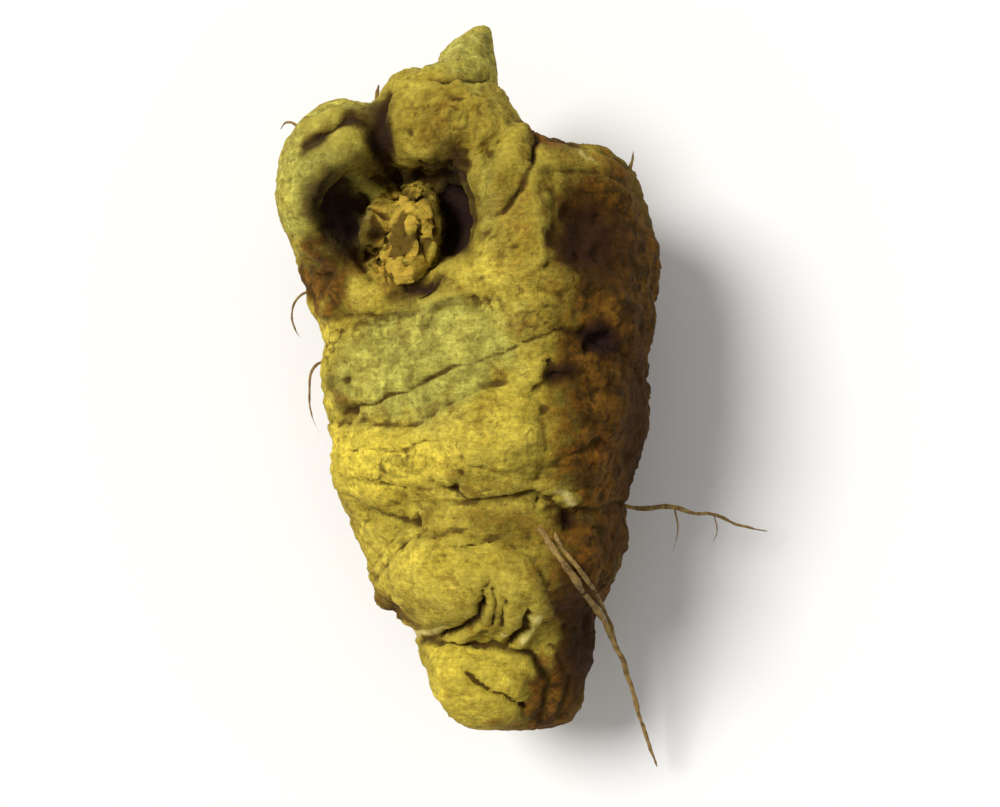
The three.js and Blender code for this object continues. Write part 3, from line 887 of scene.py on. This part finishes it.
def rootMaterial():
    material, tree, shader = newMaterial("root_bark")
    where = addNode(tree, "ShaderNodeTexCoord").outputs["Object"]
    grainy = addNode(
        tree, "ShaderNodeGroup", {"Vector": where, "Mottle Scale": 1400, "Grain Scale": 5200}, node_tree=dryGrain
    )
    mottle, fine, height = (grainy.outputs[name] for name in ("Mottle", "Grain", "Height"))
    colour = mixColour(tree, rangeNode(tree, mottle, 0.35, 0.65), rootColours["dark"], rootColours["bark"])
    powder = mathNode(tree, "MULTIPLY", rangeNode(tree, fine, 0.5, 0.7), 0.4)
    colour = mixColour(tree, powder, colour, rootColours["dust"])
    tree.links.new(colour, shader.inputs["Base Color"])
    shader.inputs["Roughness"].default_value = 0.82
    shader.inputs["Specular IOR Level"].default_value = 0.2
    bump = addNode(tree, "ShaderNodeBump", {"Strength": 0.6, "Distance": 0.0001, "Height": height})
    tree.links.new(bump.outputs[0], shader.inputs["Normal"])
    return material


# roots: points in mm, or x, y and a height over the skin where that is given as a text

rootLook = {"wrinkle": 0.08, "wander": 0.12, "start": 0.8, "tip": 0.25}

roots = [
    {
        "name": "long_root",
        "node": "root_long",
        "thick": 0.62,
        "thin": 0.36,
        "line": [
            (5.1, -10.9, "-0.55"), (6.2, -12.7, "0.0"), (7.7, -14.8, "0.35"), (9.4, -17.2, "0.5"),
            (11.0, -19.4, 13.6), (12.0, -21.4, 11.6), (13.1, -24.0, 9.2), (14.3, -27.8, 6.2), (15.8, -31.65, 3.4),
        ],
    },
    {
        "name": "long_root_strand",
        "node": None,
        "thick": 0.46,
        "thin": 0.25,
        "line": [
            (6.3, -11.3, "-0.5"), (7.2, -13.1, "0.0"), (8.9, -15.3, "0.4"), (10.4, -17.4, "0.6"),
            (11.5, -19.6, 12.6), (12.2, -21.8, 11.0),
        ],
    },
    {
        "name": "wiry_root",
        "node": "root_wiry",
        "thick": 0.42,
        "thin": 0.24,
        "line": [
            (11.6, -9.6, 9.9), (13.6, -10.1, 9.9), (16.6, -10.0, 9.0), (18.4, -10.5, 8.2), (20.2, -10.6, 7.2),
            (22.6, -11.5, 5.8), (25.1, -12.0, 4.3),
        ],
    },
    {"name": "wiry_hair_near", "node": None, "thick": 0.16, "thin": 0.1,
     "line": [(16.9, -10.2, 8.8), (17.2, -11.8, 8.0), (16.9, -13.6, 7.0)]},
    {"name": "wiry_hair_far", "node": None, "thick": 0.14, "thin": 0.09,
     "line": [(20.3, -10.7, 7.2), (20.6, -12.0, 6.4), (20.3, -13.0, 5.9)]},
    {"name": "left_hair_upper", "node": "hair_root_upper", "thick": 0.26, "thin": 0.12,
     "line": [(-12.4, 7.4, 12.8), (-13.5, 6.8, 12.9), (-14.1, 5.6, 12.4), (-14.0, 4.4, 11.4), (-13.6, 3.7, 10.6)]},
    {"name": "left_hair_lower", "node": "hair_root_lower", "thick": 0.28, "thin": 0.12,
     "line": [(-11.0, 1.8, 12.4), (-12.2, 1.2, 12.5), (-12.7, -0.8, 12.0), (-12.6, -2.6, 11.2), (-12.1, -4.0, 10.4)]},
    {"name": "crown_hook", "node": None, "thick": 0.34, "thin": 0.16,
     "line": [(-12.6, 18.8, 15.0), (-13.4, 20.0, 15.4), (-14.3, 20.4, 15.2), (-14.9, 19.9, 14.7)]},
    {"name": "crown_spur", "node": None, "thick": 0.4, "thin": 0.2,
     "line": [(-7.2, 20.8, 15.4), (-7.2, 22.4, 15.6), (-7.0, 23.3, 15.9)]},
    {"name": "shoulder_spur", "node": None, "thick": 0.5, "thin": 0.2,
     "line": [(12.0, 15.6, 15.0), (12.9, 16.9, 15.3), (13.2, 18.2, 15.6)]},
]


def heightOfSkin(x, y):
    start = place(x, y, 60)
    hit, where, normal, face = skin.ray_cast(start, Vector((0, 0, -1)))
    return (where.z - zero.z) / mm


def makeRoot(name, node, thick, thin, line):
    curve = bpy.data.curves.new(name, "CURVE")
    curve.dimensions = "3D"
    curve.resolution_u = 14
    curve.bevel_depth = thick / 2 * mm
    curve.bevel_resolution = 3
    curve.use_fill_caps = True
    spline = curve.splines.new("BEZIER")
    spline.bezier_points.add(len(line) - 1)
    for i, (point, (x, y, z)) in enumerate(zip(spline.bezier_points, line)):
        z = heightOfSkin(x, y) + float(z) if isinstance(z, str) else z
        point.co = place(x, y, z)
        point.handle_left_type = point.handle_right_type = "AUTO"
        share = i / (len(line) - 1)
        point.radius = 1 - (1 - thin / thick) * share
    spline.bezier_points[0].radius *= rootLook["start"]
    spline.bezier_points[-1].radius *= rootLook["tip"]
    root = bpy.data.objects.new(name, curve)
    bpy.context.scene.collection.objects.link(root)
    onlySelect(root)
    bpy.ops.object.convert(target="MESH")
    root = bpy.context.object
    bpy.ops.object.shade_smooth()
    wrinkleRoot(root, thick)
    root.data.materials.clear()
    root.data.materials.append(rootSkin)
    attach(root, "root")
    if node:
        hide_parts(node)


brokenRoots = [  # which side, y and height in mm, thickness, length
    (1, 9.0, 8.0, 0.7, 1.5),
    (1, 1.6, 5.2, 0.5, 1.1),
    (1, -15.4, 6.6, 0.6, 1.6),
    (-1, 12.4, 6.0, 0.6, 1.3),
    (-1, -3.4, 5.4, 0.7, 1.2),
    (-1, -11.0, 7.0, 0.45, 1.4),
]


# a short stump of a root that stands out of the flank
def makeBroken(number, side, y, z, thick, length):
    hit, where, normal, face = skin.ray_cast(place(side * 40, y, z), Vector((-side, 0, 0)))
    start = (where - zero) / mm
    bend = Vector((0, 0.25 * length * (-1) ** number, -0.3 * length))
    line = [start - normal * 0.5, start + normal * 0.5 * length, start + normal * length + bend]
    makeRoot(f"broken_root_{number}", None, thick, 0.6 * thick, [tuple(point) for point in line])


def wrinkleRoot(root, thick):
    count = len(root.data.vertices)
    co, normals = np.empty(count * 3), np.empty(count * 3, np.float32)
    root.data.vertices.foreach_get("co", co)
    root.data.vertex_normals.foreach_get("vector", normals)
    points = (co.reshape(-1, 3) - np.array(zero)) / mm
    amount = rootLook["wrinkle"] * thick * (grain(points, 0.6, 2, 41) + 1.6 * grain(points, 2.4, 2, 42))
    wander = rootLook["wander"] * np.stack([grain(points, 2.2, 2, 43 + i) for i in range(3)], axis=1)
    points += normals.reshape(-1, 3) * amount[:, None] + wander * min(1, thick * 1.5)
    low, high = (np.array([np.array(corner) - np.array(zero) for corner in cadBox])) / mm
    points = np.clip(points, low, high)
    root.data.vertices.foreach_set("co", (points * mm + np.array(zero)).ravel())
    root.data.update()


# the making

dryGrain = makeDryGrain()
rootSkin = rootMaterial()

random.seed(7)
skin = makeSkin()
print("skin mesh:", len(skin.data.polygons), "faces")
carving = Carving(skin)
sharpenTip(carving)
settleCore(carving)
carving.refresh()
carveGrowth(carving)
carving.refresh()
carveRings(carving)
carving.refresh()
carveStrokes(carving)
carveHidden(carving)
carving.refresh()
carveFibres(carving)
carving.refresh()
carveSkin(carving)
pressFlat(carving)
carving.refresh()
paintMasks(carving)
print("skin carved and painted")
onlySelect(skin)
bpy.ops.object.shade_smooth()
skin.data.materials.clear()
skin.data.materials.append(skinMaterial())
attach(skin, "root")
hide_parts("rhizome")

bpy.context.view_layer.update()
for root in roots:
    makeRoot(**root)
print("roots made:", len(roots))
for number, root in enumerate(brokenRoots):
    makeBroken(number, *root)
print("broken roots made:", len(brokenRoots))

# floor, light and camera

stageLook = {
    "floor": (0.9, 0.9, 0.9),
    "sun": 3.0,
    "softness": 24,  # how wide the light is, in degrees
    "sunFrom": (-0.55, 0.24, 0.8),
    "fill": 0.42,
}


def makeStage():
    bpy.ops.mesh.primitive_plane_add(size=3, location=(0, 0, 0))
    floor = bpy.context.object
    floor.name = "floor"
    material, tree, shader = newMaterial("pale_paper")
    shader.inputs["Base Color"].default_value = (*stageLook["floor"], 1)
    shader.inputs["Roughness"].default_value = 0.9
    floor.data.materials.append(material)

    key = bpy.data.lights.new("window_light", "SUN")
    key.energy = stageLook["sun"]
    key.angle = math.radians(stageLook["softness"])
    key.color = (1.0, 0.985, 0.955)
    keyObject = bpy.data.objects.new("window_light", key)
    keyObject.rotation_euler = Vector(stageLook["sunFrom"]).to_track_quat("Z", "Y").to_euler()
    bpy.context.scene.collection.objects.link(keyObject)

    world = bpy.data.worlds.new("studio")
    world.use_nodes = True
    background = world.node_tree.nodes["Background"]
    background.inputs["Color"].default_value = (1.0, 0.98, 0.95, 1)
    background.inputs["Strength"].default_value = stageLook["fill"]
    bpy.context.scene.world = world
    bpy.context.scene.view_settings.view_transform = "Standard"


view = {"elevation": 86, "lens": 65, "distance": 0.147, "aim": (2.6, -1.6, 10)}


def makeCamera():
    data = bpy.data.cameras.new("camera")
    data.lens = view["lens"]
    data.clip_start = 0.005
    camera = bpy.data.objects.new("camera", data)
    angle = math.radians(view["elevation"])
    back = Vector((0, -math.cos(angle), math.sin(angle)))
    camera.location = place(*view["aim"]) + back * view["distance"]
    camera.rotation_euler = (math.pi / 2 - angle, 0, 0)
    bpy.context.scene.collection.objects.link(camera)
    bpy.context.scene.camera = camera


makeStage()
makeCamera()
